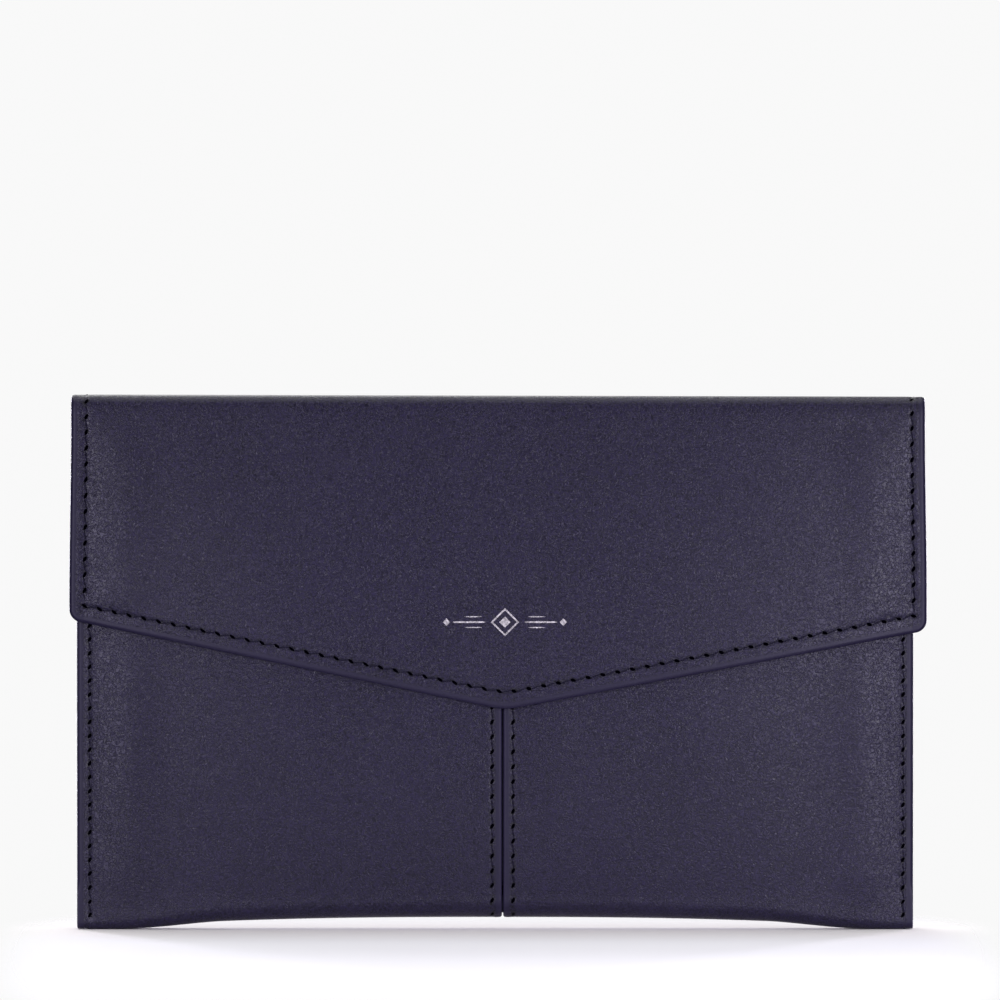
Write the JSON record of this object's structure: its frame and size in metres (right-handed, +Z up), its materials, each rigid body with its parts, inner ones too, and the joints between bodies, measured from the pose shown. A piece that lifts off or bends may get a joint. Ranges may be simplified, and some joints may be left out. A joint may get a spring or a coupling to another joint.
{
  "type": "long wallet",
  "caption": "Long envelope wallet in dark smooth leather: pointed magnetic flap, swinging front wall, card strips, inner zip pocket.",
  "frame": {"origin": "middle of the bounding box, on the surface that the wallet stands on", "axes": "+X along the width to the right as seen from the front, -Y out of the front with the flap, +Z up"},
  "size_m": [0.2, 0.0222, 0.1246],
  "materials": {
    "outer_leather": "smooth, semi-matt",
    "inner_leather": "smooth, matt",
    "lining_cloth": "twill weave",
    "woven_tape": "herringbone tape",
    "sewing_thread": "bonded thread",
    "stiffener_board": "raw",
    "zip_metal": "satin",
    "polished_metal": "polished",
    "magnet_metal": "plated",
    "silver_foil": "pressed foil"
  },
  "bodies": {
    "pouch": {"back_panel": "outer_leather", "back_board": "stiffener_board", "back_lining": "lining_cloth", "bottom_fold_left": "outer_leather", "bottom_fold_right": "outer_leather", "bottom_lining": "lining_cloth", "gusset_left": "inner_leather", "gusset_right": "inner_leather", "card_panel": "inner_leather", "card_strip_1": "inner_leather", "card_strip_2": "inner_leather", "card_strip_3": "inner_leather", "card_strip_4": "inner_leather", "zip_header": "inner_leather", "zip_tape_upper": "woven_tape", "zip_tape_lower": "woven_tape", "zip_teeth_upper": "zip_metal", "zip_teeth_lower": "zip_metal", "zip_stops": "zip_metal", "back_stitches": "sewing_thread"},
    "front_wall": {"front_panel_left": "outer_leather", "front_panel_right": "outer_leather", "front_board_left": "stiffener_board", "front_board_right": "stiffener_board", "seam_tape": "woven_tape", "front_lining": "lining_cloth", "front_magnet": "magnet_metal", "magnet_patch": "inner_leather", "front_side_stitches": "sewing_thread", "seam_stitches": "sewing_thread"},
    "divider": {"divider": "inner_leather"},
    "slider": {"zip_slider": "polished_metal"},
    "puller": {"pull_link": "polished_metal", "pull_tab": "outer_leather"},
    "spine": {"top_fold": "outer_leather", "top_fold_lining": "inner_leather"},
    "flap": {"flap_panel": "outer_leather", "flap_board": "stiffener_board", "flap_lining": "inner_leather", "flap_magnet": "magnet_metal", "flap_stitches": "sewing_thread", "foil_mark": "silver_foil"}
  },
  "joints": [
    {"name": "flap_fold", "type": "hinge", "parent": "spine", "child": "flap", "pos_m": [0, -0.00643, 0.12363], "axis": [-1, 0, 0], "range_deg": [0, 90]},
    {"name": "spine_fold", "type": "hinge", "parent": "pouch", "child": "spine", "pos_m": [0, 0.00733, 0.12363], "axis": [-1, 0, 0], "range_deg": [0, 90]},
    {"name": "front_open", "type": "hinge", "parent": "pouch", "child": "front_wall", "pos_m": [0, -0.0025, 0.0084], "axis": [1, 0, 0], "range_deg": [0, 10]},
    {"name": "divider_open", "type": "hinge", "parent": "pouch", "child": "divider", "pos_m": [0, 0.00068, 0.014], "axis": [1, 0, 0], "range_deg": [0, 5]},
    {"name": "zip_slide", "type": "slide", "parent": "pouch", "child": "slider", "axis": [-1, 0, 0], "range_m": [0, 0.146]},
    {"name": "pull_swing", "type": "hinge", "parent": "slider", "child": "puller", "pos_m": [0.0723, 0.0034, 0.1166], "axis": [0, 1, 0], "range_deg": [-80, 80]}
  ],
  "couplings": [
    {"joint": "spine_fold", "follows": "flap_fold", "ratio": 1},
    {"joint": "front_open", "follows": "flap_fold", "ratio": 0.1111},
    {"joint": "divider_open", "follows": "flap_fold", "ratio": 0.0555}
  ]
}
